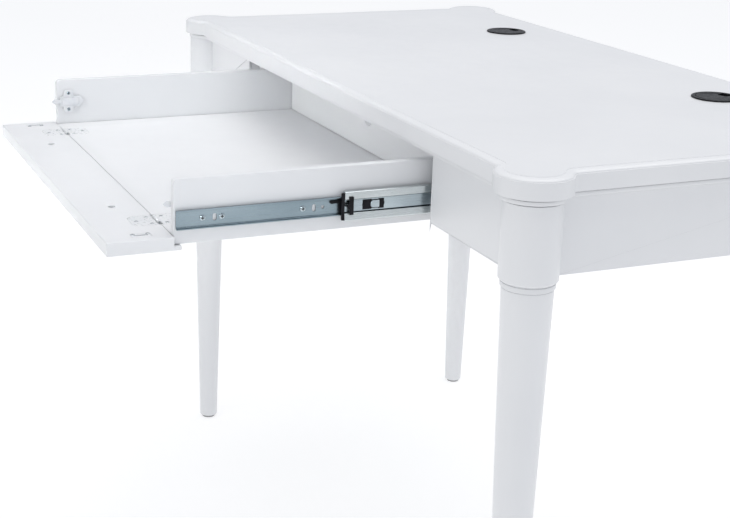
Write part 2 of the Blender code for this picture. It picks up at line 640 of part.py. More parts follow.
def make_hinge(side, sign, front, bottom):
    """Flush flap hinge: one leaf on the drawer's bottom, one on the front, and the pin."""
    across = (0.0, math.pi / 2, 0.0)
    axis_x = sign * HINGE_X
    edges = ((-KNUCKLE_HALF, -KNUCKLE_SPLIT - GAP), (-KNUCKLE_SPLIT, KNUCKLE_SPLIT),
             (KNUCKLE_SPLIT + GAP, KNUCKLE_HALF))
    axis = Vector((axis_x, 0.0, 0.0))
    start = KNUCKLE_R + 0.0005
    leaves = {}
    for owner, towards, parent, knuckles in (("drawer", 1, DRAWER, (edges[0], edges[2])),
                                             ("front", -1, FRONT, (edges[1],))):
        outline = [(x, towards * y) for x, y in leaf_outline(LEAF_REACH, LEAF_HALF, start)]
        shift = Vector(FRONT_ORIGIN) - Vector(DRAWER_ORIGIN) if owner == "drawer" else Vector((0, 0, 0))
        place = axis + shift
        leaf = extruded("hinge_leaf_%s_%s" % (owner, side), outline, LEAF_T, SATIN_WHITE, parent,
                        place + Vector((0.0, 0.0, -LEAF_T / 2)))
        for number, (low_x, high_x) in enumerate(knuckles):
            ys = sorted((0.0, towards * (start + 0.002)))
            neck = box("cut_neck_%s_%s_%d" % (owner, side, number),
                       place + Vector((low_x, ys[0], -LEAF_T)), place + Vector((high_x, ys[1], 0.0)),
                       SATIN_WHITE, parent)
            cut(leaf, as_cutter(neck), "UNION")
            middle = place + Vector(((low_x + high_x) / 2, 0.0, 0.0))
            barrel = rod("cut_barrel_%s_%s_%d" % (owner, side, number), KNUCKLE_R, high_x - low_x,
                         SATIN_WHITE, parent, middle, across, 16)
            cut(leaf, as_cutter(barrel), "UNION")
        leaves[owner] = leaf
        pocket = [(x, towards * y) for x, y in leaf_outline(LEAF_REACH + GAP, LEAF_HALF + GAP, -0.001)]
        recess = extruded("cut_leaf_%s_%s" % (owner, side), pocket, 2 * (LEAF_T + GAP), BLACK, parent, place)
        cut(bottom if owner == "drawer" else front, as_cutter(recess))
    bore = as_cutter(rod("cut_pin_" + side, PIN_HOLE_R, 0.04, BLACK, FRONT, axis, across, 10))
    room = as_cutter(rod("cut_knuckle_" + side, KNUCKLE_R + GAP, 2 * (KNUCKLE_HALF + GAP), BLACK, FRONT,
                         axis, across, 16))
    for leaf in leaves.values():
        cut(leaf, bore)
    cut(front, room)
    cut(bottom, room)
    rod("hinge_pin_" + side, PIN_R, 2 * KNUCKLE_HALF, ZINC, FRONT, axis, across, 10)


# ---------------------------------------------------------------- build
clear_scene()
PARTS = new_collection("writing_desk")
CUTTERS = new_collection("cutters")

WHITE = paint("white_paint", (0.82, 0.83, 0.84), 0.42)
SATIN_WHITE = paint("white_lacquered_metal", (0.78, 0.79, 0.80), 0.35)
PINE = paint("pine_block", (0.62, 0.46, 0.28), 0.65)
ZINC = paint("zinc_plated_steel", (0.56, 0.62, 0.66), 0.32, 1.0)
NICKEL = paint("satin_nickel", (0.66, 0.64, 0.60), 0.30, 1.0)
BLACK = paint("black_plastic", (0.02, 0.02, 0.022), 0.40)
GREY_PLASTIC = paint("grey_plastic", (0.45, 0.45, 0.45), 0.55)
MILKY = paint("milky_plastic", (0.80, 0.81, 0.83), 0.35)

DRAWER_ORIGIN = (0.0, DRAWER_FRONT_Y, DRAWER_FLOOR_Z)
FRONT_ORIGIN = (0.0, DRAWER_FRONT_Y - GAP, DRAWER_FLOOR_Z)
DESK = empty("desk_centre", (0.0, DESK_SHIFT, 0.0))
DRAWER = empty("drawer_axis", DRAWER_ORIGIN, DESK)
FRONT = empty("drop_front_axis", FRONT_ORIGIN, DESK)

make_top()
make_legs()
make_aprons()
make_grommets()
make_slides()
drawer_bottom = make_drawer()
make_front(drawer_bottom)
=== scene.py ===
import json
import math

import bmesh
import bpy
from mathutils import Matrix, Vector


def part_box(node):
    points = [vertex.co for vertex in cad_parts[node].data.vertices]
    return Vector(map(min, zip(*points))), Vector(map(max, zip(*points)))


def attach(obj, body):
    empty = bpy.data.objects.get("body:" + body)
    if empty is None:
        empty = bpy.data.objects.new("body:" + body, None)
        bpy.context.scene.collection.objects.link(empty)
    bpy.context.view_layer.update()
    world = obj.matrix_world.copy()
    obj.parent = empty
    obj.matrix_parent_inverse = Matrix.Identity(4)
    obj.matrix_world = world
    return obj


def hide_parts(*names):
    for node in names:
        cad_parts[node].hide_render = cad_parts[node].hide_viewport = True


# Finished look of the writing desk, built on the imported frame. Metres, +Z up, the user sits at -Y.
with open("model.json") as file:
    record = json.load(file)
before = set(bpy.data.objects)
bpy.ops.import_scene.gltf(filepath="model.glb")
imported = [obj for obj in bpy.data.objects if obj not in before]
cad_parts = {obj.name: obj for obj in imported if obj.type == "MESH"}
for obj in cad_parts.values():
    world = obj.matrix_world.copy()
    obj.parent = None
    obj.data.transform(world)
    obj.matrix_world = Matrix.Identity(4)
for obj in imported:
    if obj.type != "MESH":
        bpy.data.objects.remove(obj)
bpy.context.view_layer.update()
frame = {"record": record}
RECORD = frame["record"]
BODY_OF = {node: body for body, nodes in RECORD["behaviour"]["bodies"].items() for node in nodes}
SLOT_OF = {part["node"]: part["material_slot"] for part in RECORD["subparts"]}

SIDES = (("left", -1), ("right", 1))
CORNERS = (("front_left", -1, -1), ("front_right", 1, -1), ("back_left", -1, 1), ("back_right", 1, 1))
GAP = 0.0003  # clearance between parts that fit together
ALONG_X = (1.0, 0.0, 0.0)
UP = (0.0, 0.0, 1.0)
ON_AXIS = 1e-7  # a turned profile's radius below this is a point on its axis
SOFT_SHARP = 38.0  # degrees: edges sharper than this stay sharp in shading
FINE_SHARP = 30.0  # the same, for sheet metal and screws

# ---- sizes of the details
LOBE_R = 0.045  # round corner of the slab over each leg
LOBE_BLEND = 0.008  # fillet between a lobe and the straight edges
EDGE_X = 0.5765  # the slab's straight edges, from its middle
EDGE_Y = 0.2865
FACE_TOP_DROP = 0.0045  # from the working surface down to the top of the upright edge
EDGE_STEP = 0.0012  # ledge between the upright edge and the rounded shoulder
EDGE_ROUND = 0.0105
EDGE_CREASE = 0.0005
BOARD_INSET = 0.0065  # the board under the slab stands back by this
BOARD_GROOVE = (0.007, 0.002) # shadow gap between board and slab: depth, height

POST_R = 0.034
RING_R = 0.0313
TAPER_TOP_R = 0.0296
FOOT_R = 0.0159
SHOULDER_Z = 0.641
RING_TOP_Z = 0.637
RING_END_Z = 0.6302
TAPER_TOP_Z = 0.6288
BOLT_START = 0.036  # from the leg's axis
BOLT_END = 0.0965
THREAD_PITCH = 0.00125
THREAD_R = (0.0034, 0.004)  # root, crest

LINER_HOLE_R = 0.03
FLANGE_R = 0.033
FLANGE_T = 0.0018
CAP_R = 0.027
CAP_NOTCH = (0.016, 0.015)  # width, depth from the rim
CAP_NOTCH_TURN = math.radians(105)

SHEET = 0.0012  # thickness of the slides' steel
SLIDE_HALF = {"inner": 0.01165, "middle": 0.0184, "outer": 0.0228}
MIDDLE_FACE = 0.0097  # depths, from the drawer's side
MIDDLE_WEB = 0.0062
OUTER_FACE = 0.0132
FOLD_DEPTH = 0.0005  # line pressed in where the middle member's web meets its bands
FOLD_REACH = (0.0086, 0.0077)  # that line's outer and inner height, from the web's middle
INNER_SLOTS = (  # along from the front, length, width, length runs upwards
    (0.0475, 0.0088, 0.0048, True), (0.1735, 0.0092, 0.0048, True), (0.185, 0.0044, 0.0044, False),
    (0.245, 0.0085, 0.0042, False), (0.33, 0.0044, 0.0044, False))
INNER_SCREWS = (0.0325, 0.0565, 0.159, 0.3)
OUTER_SLOTS = (0.035, 0.12, 0.25, 0.325)
OUTER_SCREWS = (0.06, 0.225, 0.3)

LEAF_HALF = 0.022
LEAF_REACH = 0.033
LEAF_T = 0.0016
KNUCKLE_R = 0.0024
KNUCKLE_HALF = 0.013
KNUCKLE_SPLIT = 0.0044
HINGE_SCREWS = ((-0.014, 0.0095), (0.014, 0.0095), (0.0, 0.0255))  # along and away from the pin

KNOB_R = 0.015
SINK_R = 0.0048
SINK_BORE = 0.0023
SINK_DEPTH = 0.009

FLOOR_HALF = 30.0
CAMERA_LENS = 71.41
CAMERA_SHIFT = (0.0616, -0.0877)
CAMERA_TURN = (22.73, 15.49, -1.39)  # degrees: heading, tilt, roll
CAMERA_PLACE = (1.8706, -1.0609, 1.1484)  # x and y from the desk top's middle, height


# ---- material nodes
def material_tree(name, color, roughness, metallic=0.0):
    material = bpy.data.materials.new(name)
    material.use_nodes = True
    tree = material.node_tree
    shader = tree.nodes["Principled BSDF"]
    shader.inputs["Base Color"].default_value = (*color, 1.0)
    shader.inputs["Roughness"].default_value = roughness
    shader.inputs["Metallic"].default_value = metallic
    return material, tree, shader


def object_noise(tree, scale, detail=2.0, stretch=(1.0, 1.0, 1.0), rough=0.5):
    """Noise that is fixed to the piece; stretch makes it longer along an axis."""
    coords = tree.nodes.new("ShaderNodeTexCoord")
    mapping = tree.nodes.new("ShaderNodeMapping")
    mapping.inputs["Scale"].default_value = [1.0 / value for value in stretch]
    noise = tree.nodes.new("ShaderNodeTexNoise")
    noise.inputs["Scale"].default_value = scale
    noise.inputs["Detail"].default_value = detail
    noise.inputs["Roughness"].default_value = rough
    tree.links.new(coords.outputs["Object"], mapping.inputs["Vector"])
    tree.links.new(mapping.outputs["Vector"], noise.inputs["Vector"])
    return noise.outputs["Fac"]


def blend_colors(tree, factor, stops):
    ramp = tree.nodes.new("ShaderNodeValToRGB")
    first, last = ramp.color_ramp.elements
    first.position, last.position = stops[0][0], stops[-1][0]
    first.color, last.color = (*stops[0][1], 1.0), (*stops[-1][1], 1.0)
    for position, color in stops[1:-1]:
        ramp.color_ramp.elements.new(position).color = (*color, 1.0)
    tree.links.new(factor, ramp.inputs["Fac"])
    return ramp.outputs["Color"]


def mottled(tree, scale, detail, dark, light):
    """Colour that drifts between two tones; scale is in noise cells per metre."""
    return blend_colors(tree, object_noise(tree, scale, detail), [(0.3, dark), (0.7, light)])


def colored(tree, shader, tone):
    tree.links.new(tone, shader.inputs["Base Color"])


def glossed(tree, shader, pattern, low, high):
    """Roughness that follows a noise pattern from low to high."""
    tree.links.new(remap(tree, pattern, low, high), shader.inputs["Roughness"])


def remap(tree, value, low, high, from_low=0.3, from_high=0.7):
    node = tree.nodes.new("ShaderNodeMapRange")
    node.inputs["From Min"].default_value = from_low
    node.inputs["From Max"].default_value = from_high
    node.inputs["To Min"].default_value = low
    node.inputs["To Max"].default_value = high
    tree.links.new(value, node.inputs["Value"])
    return node.outputs["Result"]


def darken(tree, color, factor):
    """Multiply a colour by a grey factor."""
    mix = tree.nodes.new("ShaderNodeMix")
    mix.data_type = "RGBA"
    mix.blend_type = "MULTIPLY"
    mix.inputs[0].default_value = 1.0
    tree.links.new(color, mix.inputs[6])
    tree.links.new(factor, mix.inputs[7])
    return mix.outputs[2]


def crevice_shade(tree, distance, low):
    """Painted shade: a grey factor that falls to low where surfaces nearly touch."""
    occlusion = tree.nodes.new("ShaderNodeAmbientOcclusion")
    occlusion.samples = 4
    occlusion.inputs["Distance"].default_value = distance
    return remap(tree, occlusion.outputs["AO"], low, 1.0, 0.0, 0.85)


def worn_edges(tree, low):
    """Grey factor that falls to low on sharp outer edges."""
    geometry = tree.nodes.new("ShaderNodeNewGeometry")
    return remap(tree, geometry.outputs["Pointiness"], 1.0, low, 0.52, 0.62)


def bumped(tree, shader, layers):
    """Stack (height, strength, distance) bumps onto a shader's normal."""
    previous = None
    for height, strength, distance in layers:
        bump = tree.nodes.new("ShaderNodeBump")
        bump.inputs["Strength"].default_value = strength
        bump.inputs["Distance"].default_value = distance
        tree.links.new(height, bump.inputs["Height"])
        if previous is not None:
            tree.links.new(previous, bump.inputs["Normal"])
        previous = bump.outputs["Normal"]
    tree.links.new(previous, shader.inputs["Normal"])


# ---- the object's materials
def finish(name, color, roughness, mottle, gloss, bumps, shade=None, worn=None, **sockets):
    """Colour, edges, roughness and bumps that all vary; a noise starts with its scale and detail."""
    material, tree, shader = material_tree(name, color, roughness)
    tone = mottled(tree, *mottle)
    # shade: painted shade, the colour darkened where surfaces nearly touch; worn: edge wear on sharp edges
    if shade:
        tone = darken(tree, tone, crevice_shade(tree, *shade))
    if worn:
        tone = darken(tree, tone, worn_edges(tree, worn))
    colored(tree, shader, tone)
    glossed(tree, shader, object_noise(tree, *gloss[:2]), *gloss[2:])
    for socket, value in sockets.items():
        shader.inputs[socket.replace("_", " ")].default_value = value
    bumped(tree, shader, [(object_noise(tree, scale, detail), strength, distance)
            for scale, detail, strength, distance in bumps])
    return material


def zinc_steel(name, dark, light, shade=0.3):
    """Bright zinc plate with fine marks along the rolled sheet; shade is how dark its folds get."""
    material, tree, shader = material_tree(name, light, 0.24, 1.0)
    middle = tuple((a + b) / 2 for a, b in zip(dark, light))
    tone = blend_colors(tree, object_noise(tree, 14.0, 4.0, (1.0, 3.0, 1.0)),
            [(0.32, dark), (0.5, middle), (0.68, light)])
    # painted shade: the colour darkened in folds and where parts nearly touch
    colored(tree, shader, darken(tree, tone, crevice_shade(tree, 0.004, shade)))
    marks = object_noise(tree, 900.0, 3.0, (1.0, 60.0, 1.0))
    glossed(tree, shader, marks, 0.16, 0.32)
    shader.inputs["Anisotropic"].default_value = 0.35
    bumped(tree, shader, [(marks, 0.1, 0.0002), (object_noise(tree, 120.0, 2.0), 0.06, 0.0004)])
    return material


def satin_nickel():
    """Turned knob with a lathe's fine rings."""
    material, tree, shader = material_tree("satin_nickel", (0.66, 0.64, 0.6), 0.28, 1.0)
    tone = mottled(tree, 60.0, 3.0, (0.61, 0.59, 0.55), (0.7, 0.68, 0.64))
    # painted shade where surfaces nearly touch
    colored(tree, shader, darken(tree, tone, crevice_shade(tree, 0.006, 0.5)))
    rings = object_noise(tree, 1400.0, 2.0, (40.0, 40.0, 1.0))
    glossed(tree, shader, rings, 0.2, 0.36)
    bumped(tree, shader, [(rings, 0.12, 0.0002)])
    return material


def pine():
    """Bare softwood: long grain lines, darker latewood, open-pored surface."""
    material, tree, shader = material_tree("bare_pine", (0.62, 0.46, 0.28), 0.62)
    grain = object_noise(tree, 160.0, 5.0, (9.0, 9.0, 1.0), 0.65)
    tone = blend_colors(tree, grain, [(0.34, (0.44, 0.29, 0.15)), (0.48, (0.62, 0.46, 0.27)),
            (0.66, (0.74, 0.58, 0.38))])
    # painted shade where surfaces nearly touch
    colored(tree, shader, darken(tree, tone, crevice_shade(tree, 0.012, 0.6)))
    glossed(tree, shader, grain, 0.52, 0.74)
    bumped(tree, shader, [(grain, 0.25, 0.0006)])
    return material


def painted_recess_shade(name, dark, light):
    """Screw recesses: the same steel, painted dark as painted shade."""
    material, tree, shader = material_tree(name, dark, 0.6, 0.6)
    colored(tree, shader, mottled(tree, 500.0, 2.0, dark, light))
    return material


LOOKS = {
    "white_paint": finish(  # sprayed satin lacquer: slight orange peel, patchy sheen
        "white_lacquer", (0.8, 0.81, 0.82), 0.36,
        (5.0, 4.0, (0.775, 0.785, 0.8), (0.81, 0.818, 0.83)), gloss=(38.0, 4.0, 0.3, 0.38),
        bumps=((25.0, 1.0, 0.03, 0.001), (150.0, 1.0, 0.02, 0.0003)),
        shade=(0.005, 0.7), worn=0.95, Coat_Weight=0.15, Coat_Roughness=0.22),
    "white_metal": finish(  # powder-coated hinge leaf
        "white_coated_metal", (0.76, 0.775, 0.79), 0.3,
        (30.0, 3.0, (0.72, 0.74, 0.76), (0.79, 0.8, 0.81)), gloss=(300.0, 2.0, 0.24, 0.38),
        bumps=((260.0, 1.0, 0.04, 0.0002),), shade=(0.004, 0.55), worn=0.86),
    "zinc_steel": zinc_steel("zinc_plated_steel", (0.42, 0.49, 0.53), (0.6, 0.68, 0.71)),
    "satin_nickel": satin_nickel(),
    "black_plastic": finish(  # moulded, with a fine spark-eroded grain
        "black_plastic", (0.01, 0.01, 0.012), 0.34,
        (90.0, 3.0, (0.007, 0.007, 0.009), (0.015, 0.015, 0.018)), gloss=(260.0, 3.0, 0.26, 0.44),
        bumps=((2600.0, 2.0, 0.16, 0.0002),), Specular_IOR_Level=0.12),
    "grey_plastic": finish(  # foot glides
        "grey_plastic", (0.42, 0.42, 0.43), 0.55,
        (120.0, 3.0, (0.36, 0.36, 0.37), (0.48, 0.48, 0.48)), gloss=(400.0, 2.0, 0.46, 0.66),
        bumps=((1800.0, 2.0, 0.2, 0.0002),), shade=(0.006, 0.6)),
    "milky_plastic": finish(  # translucent nylon
        "milky_nylon", (0.8, 0.81, 0.83), 0.32,
        (80.0, 3.0, (0.74, 0.76, 0.79), (0.83, 0.84, 0.85)), gloss=(500.0, 2.0, 0.26, 0.4),
        bumps=((1200.0, 2.0, 0.08, 0.0002),), shade=(0.004, 0.6),
        Subsurface_Weight=0.25, Subsurface_Radius=(0.002, 0.002, 0.002)),
    "corner_wood": pine(),
}
# dark colours painted into screw recesses as painted shade; the paler one is for the small screws
RECESS_SHADE = painted_recess_shade("painted_recess_shade", (0.02, 0.02, 0.024), (0.05, 0.05, 0.055))
PALE_RECESS_SHADE = painted_recess_shade("pale_painted_recess_shade", (0.11, 0.11, 0.12), (0.2, 0.2, 0.21))
DULL_ZINC = zinc_steel("dull_zinc_plate", (0.24, 0.31, 0.35), (0.38, 0.46, 0.51))
# painted highlight: a brighter copy of the zinc for the slide's proud bands
BAND_HIGHLIGHT_ZINC = zinc_steel("band_highlight_zinc_plate", (0.6, 0.65, 0.66), (0.78, 0.82, 0.82))
SCREW_ZINC = zinc_steel("screw_zinc_plate", (0.66, 0.68, 0.69), (0.82, 0.84, 0.85), 0.8)
# painted shadow: a near-black copy of the zinc for the lines beside the bands
FOLD_SHADOW_ZINC = zinc_steel("fold_shadow_zinc_plate", (0.05, 0.06, 0.07), (0.1, 0.11, 0.12))


# ---- mesh helpers
def linked(name, data):
    obj = bpy.data.objects.new(name, data)
    bpy.context.scene.collection.objects.link(obj)
    return obj


def add_object(name, bm, material):
    bmesh.ops.recalc_face_normals(bm, faces=bm.faces)
    mesh = bpy.data.meshes.new(name)
    bm.to_mesh(mesh)
    bm.free()
    mesh.materials.append(material)
    return linked(name, mesh)


def stands_for(obj, node):
    """The finished piece takes the node's place and body."""
    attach(obj, BODY_OF[node])
    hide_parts(node)
    return obj


def detail(obj, body, slot):
    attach(obj, body)
    return obj


def look_of(node):
    return LOOKS[SLOT_OF[node]]


def smooth(obj, angle=SOFT_SHARP, weighted=True):
    mesh = obj.data
    mesh.shade_smooth()
    mesh.set_sharp_from_angle(angle=math.radians(angle))
    if weighted:
        modifier = obj.modifiers.new("even_normals", "WEIGHTED_NORMAL")
        modifier.keep_sharp = True
    return obj


def soften(obj, width, segments=3, angle=32.0):
    """Round every edge sharper than angle and shade the result smooth."""
    bm = bmesh.new()
    bm.from_mesh(obj.data)
    bmesh.ops.remove_doubles(bm, verts=bm.verts, dist=0.00002)
    bmesh.ops.dissolve_limit(bm, angle_limit=math.radians(0.4), verts=bm.verts, edges=bm.edges)
    sharp = [e for e in bm.edges if e.is_manifold and e.calc_face_angle(0.0) > math.radians(angle)]
    bmesh.ops.bevel(bm, geom=sharp, offset=width, segments=segments, profile=0.5, affect="EDGES",
            clamp_overlap=True, offset_type="OFFSET")
    bm.to_mesh(obj.data)
    bm.free()
    return smooth(obj)


def arc(center, radius, start, end, steps):
    points = []
    for i in range(steps + 1):
        angle = start + (end - start) * i / steps
        points.append((center[0] + radius * math.cos(angle), center[1] + radius * math.sin(angle)))
    return points


def filleted(corners, steps=5):
    """A closed outline from (x, y, radius) corners, each rounded by its radius."""
    points = []
    for i, (x, y, radius) in enumerate(corners):
        here = Vector((x, y))
        back = (Vector(corners[i - 1][:2]) - here).normalized()
        ahead = (Vector(corners[(i + 1) % len(corners)][:2]) - here).normalized()
        half = back.angle(ahead) / 2
        if radius <= 0.0 or half > math.radians(89.5):
            points.append((x, y))
            continue
        center = here + (back + ahead).normalized() * (radius / math.sin(half))
        first = here + back * (radius / math.tan(half)) - center
        last = here + ahead * (radius / math.tan(half)) - center
        sweep = first.angle_signed(last)
        for step in range(steps + 1):
            spoke = Matrix.Rotation(-sweep * step / steps, 2) @ first
            points.append(tuple(center + spoke))
    return points


AXES = {"x": (2, 0, 1), "y": (0, 2, 1), "z": (0, 1, 2)}  # where x, y and z are in (u, v, level)


def loft(rings):
    """Walls from ring to ring of as many points, and a face over each end."""
    bm = bmesh.new()
    rings = [[bm.verts.new(co) for co in ring] for ring in rings]
    for lower, upper in zip(rings, rings[1:]):
        for i in range(len(lower)):
            j = (i + 1) % len(lower)
            bm.faces.new((lower[i], lower[j], upper[j], upper[i]))
    bm.faces.new(rings[0])
    bm.faces.new(rings[-1])
    return bm


def prism(name, outline, low, high, along, material):
    """A 2-D outline extruded along an axis, from low to high."""
    u, v, w = AXES[along]
    rings = [[(point[u], point[v], point[w]) for point in ((*pair, level) for pair in outline)]
            for level in (low, high)]
    return add_object(name, loft(rings), material)


def block(name, low, high, material):
    outline = [(low[0], low[1]), (high[0], low[1]), (high[0], high[1]), (low[0], high[1])]
    return prism(name, outline, low[2], high[2], "z", material)


def lathe(name, profile, place, material, steps=96):
    """Turn a (radius, height) profile round an axis; place puts its own Z where it belongs."""
    bm = bmesh.new()
    rings = []
    for radius, height in profile:
        if radius < ON_AXIS:
            rings.append([bm.verts.new((0.0, 0.0, height))])
            continue
        ring = []
        for i in range(steps):
            angle = 2 * math.pi * i / steps
            ring.append(bm.verts.new((radius * math.cos(angle), radius * math.sin(angle), height)))
        rings.append(ring)
    for upper, lower in zip(rings, rings[1:]):
        for i in range(steps):
            j = (i + 1) % steps
            corners = [upper[i % len(upper)], upper[j % len(upper)],
                    lower[j % len(lower)], lower[i % len(lower)]]
            unique = list(dict.fromkeys(corners))
            if len(unique) > 2:
                bm.faces.new(unique)
    bmesh.ops.transform(bm, matrix=place, verts=bm.verts)
    return add_object(name, bm, material)


def cut_out(node, outline, low, high, along):
    """A prism that will stand for the node, in the node's look."""
    return prism(node + "_finish", outline, low, high, along, look_of(node))


def turned(node, profile, place, steps=96):
    """A turning that will stand for the node, in the node's look."""
    return lathe(node + "_finish", profile, place, look_of(node), steps)


def carve_ready(obj, width, segments=3):
    """Round the edges before cutting, and leave the normals to the end."""
    soften(obj, width, segments)
    obj.modifiers.clear()
    return obj


def upright(x, y, z=0.0):
    return Matrix.Translation((x, y, z))


def facing(point, direction):
    """Own Z along direction, starting at point."""
    return Matrix.Translation(point) @ Vector(direction).to_track_quat("Z", "Y").to_matrix().to_4x4()


def carve(obj, *cutters):
    """Cut obj with the cutters, and drop the cutters."""
    for cutter in cutters:
        modifier = obj.modifiers.new(cutter.name, "BOOLEAN")
        modifier.operation = "DIFFERENCE"
        modifier.solver = "EXACT"
        modifier.object = cutter
    bpy.context.view_layer.update()
    depsgraph = bpy.context.evaluated_depsgraph_get()
    mesh = bpy.data.meshes.new_from_object(obj.evaluated_get(depsgraph))
    obj.modifiers.clear()
    obj.data = mesh
    while len(mesh.materials) > 1:
        mesh.materials.pop()
    for cutter in cutters:
        bpy.data.objects.remove(cutter)
    return obj


def merge(obj, *others):
    """Gather other meshes into obj as separate shells."""
    bm = bmesh.new()
    for piece in (obj, *others):
        bm.from_mesh(piece.data)
    bm.to_mesh(obj.data)
    bm.free()
    for piece in others:
        bpy.data.objects.remove(piece)
    return obj


def box_of(node):
    low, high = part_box(node)
    return Vector(low), Vector(high)


def measured(node):
    low, high = box_of(node)
    return low, high, (low + high) / 2


def middle_of(node):
    return measured(node)[2]


def refined(node, width, segments=3):
    """The node's own shape with its edges rounded."""
    bm = bmesh.new()
    bm.from_mesh(bpy.data.objects[node].data)
    obj = add_object(node + "_finish", bm, look_of(node))
    return stands_for(soften(obj, width, segments), node)


# ---- screws
def screw_head(radius, height, recess, look, recess_shade_look):
    """A domed head with a cross recess, its own Z outwards, drawn once and shared."""
    rim_share = 0.35
    recess_floor = 0.8
    arm_half = 0.16 * radius
    profile = [(0.0, height)]
    for angle in [math.pi / 2 * i / 6 for i in range(1, 7)]:
        dome = rim_share + (1.0 - rim_share) * math.cos(angle)
        profile.append((radius * math.sin(angle), height * dome))
    profile += [(radius, 0.0), (0.0, 0.0)]
    head = lathe("screw_head", profile, Matrix.Identity(4), look, 32)
    arms = [block("arm", (-x, -y, height * rim_share), (x, y, height + 0.002), RECESS_SHADE)
            for x, y in ((recess, arm_half), (arm_half, recess))]
    carve(head, *arms)
    # the cross recess takes the painted shade
    head.data.materials.append(recess_shade_look)
    for polygon in head.data.polygons:
        center = polygon.center
        if math.hypot(center.x, center.y) < recess and center.z < height * recess_floor:
            polygon.material_index = 1
    smooth(head, FINE_SHARP, False)
    mesh = head.data
    bpy.data.objects.remove(head)
    return mesh


SCREWS = {
    "large": screw_head(0.0036, 0.0014, 0.002, LOOKS["zinc_steel"], RECESS_SHADE),
    "small": screw_head(0.0027, 0.0009, 0.0013, SCREW_ZINC, PALE_RECESS_SHADE),
    "strike": screw_head(0.0027, 0.0009, 0.0015, LOOKS["zinc_steel"], RECESS_SHADE),
}


def add_screw(name, kind, point, direction, body):
    obj = linked(name, SCREWS[kind])
    obj.matrix_world = facing(point, direction)
    return detail(obj, body, "zinc_steel")


# ---- top
def lobed_outline(inset, steps=40, blend_steps=8):
    """Straight sides with a round lobe over each leg, moved inwards by inset."""
    low, high, middle = measured("desktop")
    lobe_x = (high.x - low.x) / 2 - LOBE_R
    lobe_y = (high.y - low.y) / 2 - LOBE_R
    lobe = LOBE_R - inset
    blend = LOBE_BLEND + inset
    reach_x = EDGE_X - lobe_x - inset
    reach_y = EDGE_Y - lobe_y - inset
    along_x = math.sqrt((lobe + blend) ** 2 - (reach_y + blend) ** 2)
    along_y = math.sqrt((lobe + blend) ** 2 - (reach_x + blend) ** 2)
    turn_y = math.atan2(along_y, reach_x + blend)
    turn_x = math.atan2(reach_y + blend, along_x)
    quarter = arc((reach_x + blend, -along_y), blend, math.pi, math.pi - turn_y, blend_steps)
    quarter += arc((0.0, 0.0), lobe, -turn_y, math.pi - turn_x, steps)[1:-1]
    quarter += arc((-along_x, reach_y + blend), blend, -turn_x, -math.pi / 2, blend_steps)
    outline = []
    for sx, sy in ((1, 1), (-1, 1), (-1, -1), (1, -1)):
        corner = [(middle.x + sx * (lobe_x + x), middle.y + sy * (lobe_y + y)) for x, y in quarter]
        outline += corner if sx * sy > 0 else corner[::-1]
    return outline


def stacked(name, levels, material):
    """Loft the lobed outline through (inset, height) levels."""
    rings = [[(x, y, height) for x, y in lobed_outline(inset)] for inset, height in levels]
    return add_object(name, loft(rings), material)


def cable_hole_cutters():
    above, below = 0.05, -0.09
    profile = [(0.0, above), (LINER_HOLE_R, above), (LINER_HOLE_R, below), (0.0, below)]
    return [lathe("hole_" + side, profile, upright(*middle_of("grommet_liner_" + side)),
            LOOKS["white_paint"], 64) for side, _ in SIDES]


def make_top():
    """Slab with a bead and a rounded shoulder round its edge, and the board set back under it."""
    low, high = box_of("desktop")
    face_top = high.z - FACE_TOP_DROP
    bead = face_top + 0.0003
    levels = [(0.0008, low.z), (0.0002, low.z + 0.0002), (0.0, low.z + 0.0008),
            (0.0, face_top - 0.0004), (0.0002, face_top - 0.0001),
            (EDGE_STEP - 0.0003, face_top), (EDGE_STEP, bead)]
    steps = 10
    rise = high.z - bead
    for i in range(1, steps + 1):
        angle = math.pi / 2 * i / steps
        levels.append((EDGE_STEP + (EDGE_ROUND - EDGE_CREASE) * (1 - math.cos(angle)),
                bead + (rise - EDGE_CREASE) * math.sin(angle)))
    levels += [(EDGE_STEP + EDGE_ROUND - EDGE_CREASE * 0.6, high.z - 0.0001),
            (EDGE_STEP + EDGE_ROUND, high.z)]
    slab = stacked("desktop_finish", levels, look_of("desktop"))
    stands_for(smooth(carve(slab, *cable_hole_cutters()), 40.0), "desktop")
    low, high = box_of("under_top_board")
    depth, height = BOARD_GROOVE
    shelf = high.z - height
    levels = [(BOARD_INSET + 0.0012, low.z), (BOARD_INSET + 0.0004, low.z + 0.0003),
            (BOARD_INSET, low.z + 0.0012), (BOARD_INSET, shelf - 0.001),
            (BOARD_INSET + 0.0006, shelf), (BOARD_INSET + depth, shelf), (BOARD_INSET + depth, high.z)]
    board = stacked("under_top_board_finish", levels, look_of("under_top_board"))
    stands_for(smooth(carve(board, *cable_hole_cutters()), 40.0), "under_top_board")


# ---- legs
def leg_profile(low, high):
    """Post, quarter-round shoulder, groove, ring, second groove, straight taper, foot."""
    ring = RING_R
    neck = TAPER_TOP_R - 0.0005
    points = [(0.0, high), (POST_R - 0.0005, high), (POST_R, high - 0.0005)]
    points += arc((ring, SHOULDER_Z), POST_R - ring, 0.0, -math.pi / 2, 8)
    points += [(ring - 0.001, RING_TOP_Z + 0.0004), (ring - 0.001, RING_TOP_Z - 0.0004),
            (ring - 0.0002, RING_TOP_Z - 0.0009), (ring, RING_TOP_Z - 0.0014),
            (ring, RING_END_Z + 0.0012), (ring - 0.0004, RING_END_Z + 0.0006),
            (neck, RING_END_Z), (neck, RING_END_Z - 0.0008)]
    steps = 24
    for i in range(steps + 1):
        share = i / steps
        height = TAPER_TOP_Z + (low + 0.0016 - TAPER_TOP_Z) * share
        points.append((TAPER_TOP_R + (FOOT_R - TAPER_TOP_R) * share, height))
    return points + [(FOOT_R - 0.0006, low + 0.0005), (FOOT_R - 0.0016, low), (0.0, low)]


